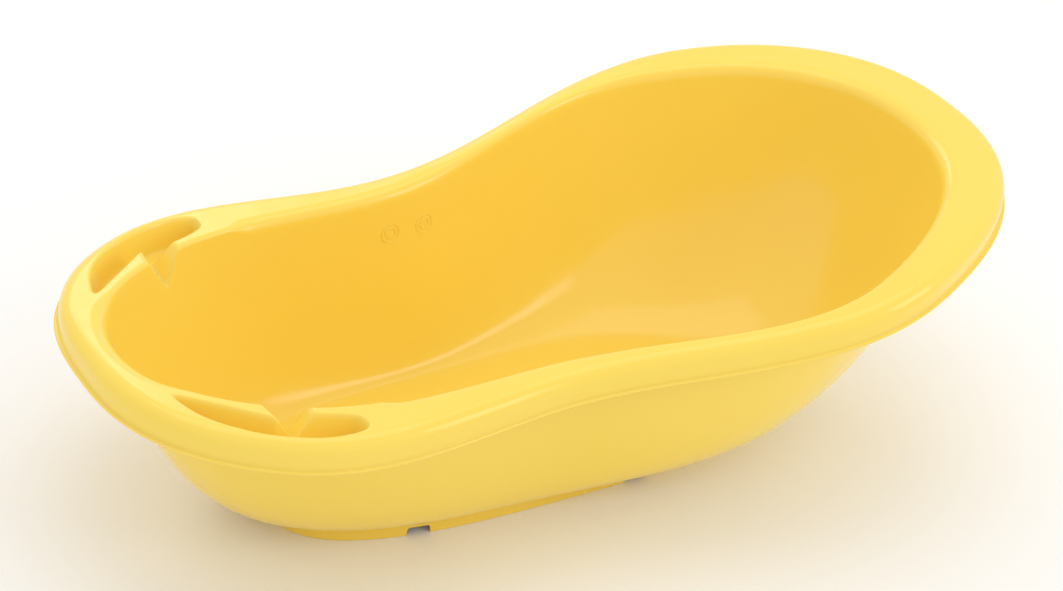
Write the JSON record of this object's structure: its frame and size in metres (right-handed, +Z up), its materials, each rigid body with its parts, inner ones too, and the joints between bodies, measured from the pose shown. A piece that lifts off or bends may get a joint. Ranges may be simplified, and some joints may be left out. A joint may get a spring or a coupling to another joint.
{
  "type": "baby bathtub",
  "caption": "Moulded plastic baby bathtub with a raised head end, a rolled rim, soap dishes at the foot end and a notched standing ring.",
  "frame": {"origin": "under the middle of the tub, on the ground", "axes": "+X along the tub to its raised head end, +Z up, +Y to the left side"},
  "size_m": [1.0012, 0.5134, 0.3115],
  "materials": {
    "tub": "glossy moulded polypropylene, yellow",
    "rim": "glossy moulded polypropylene, yellow",
    "dishes": "glossy moulded polypropylene, yellow",
    "foot_ring": "glossy moulded polypropylene, yellow",
    "marks": "glossy moulded polypropylene, yellow"
  },
  "bodies": {
    "root": {"bowl": "tub", "rim": "rim", "soap_dish_left": "dishes", "soap_dish_right": "dishes", "foot_ring": "foot_ring", "moulded_mark_1": "marks", "moulded_mark_2": "marks"}
  },
  "joints": []
}
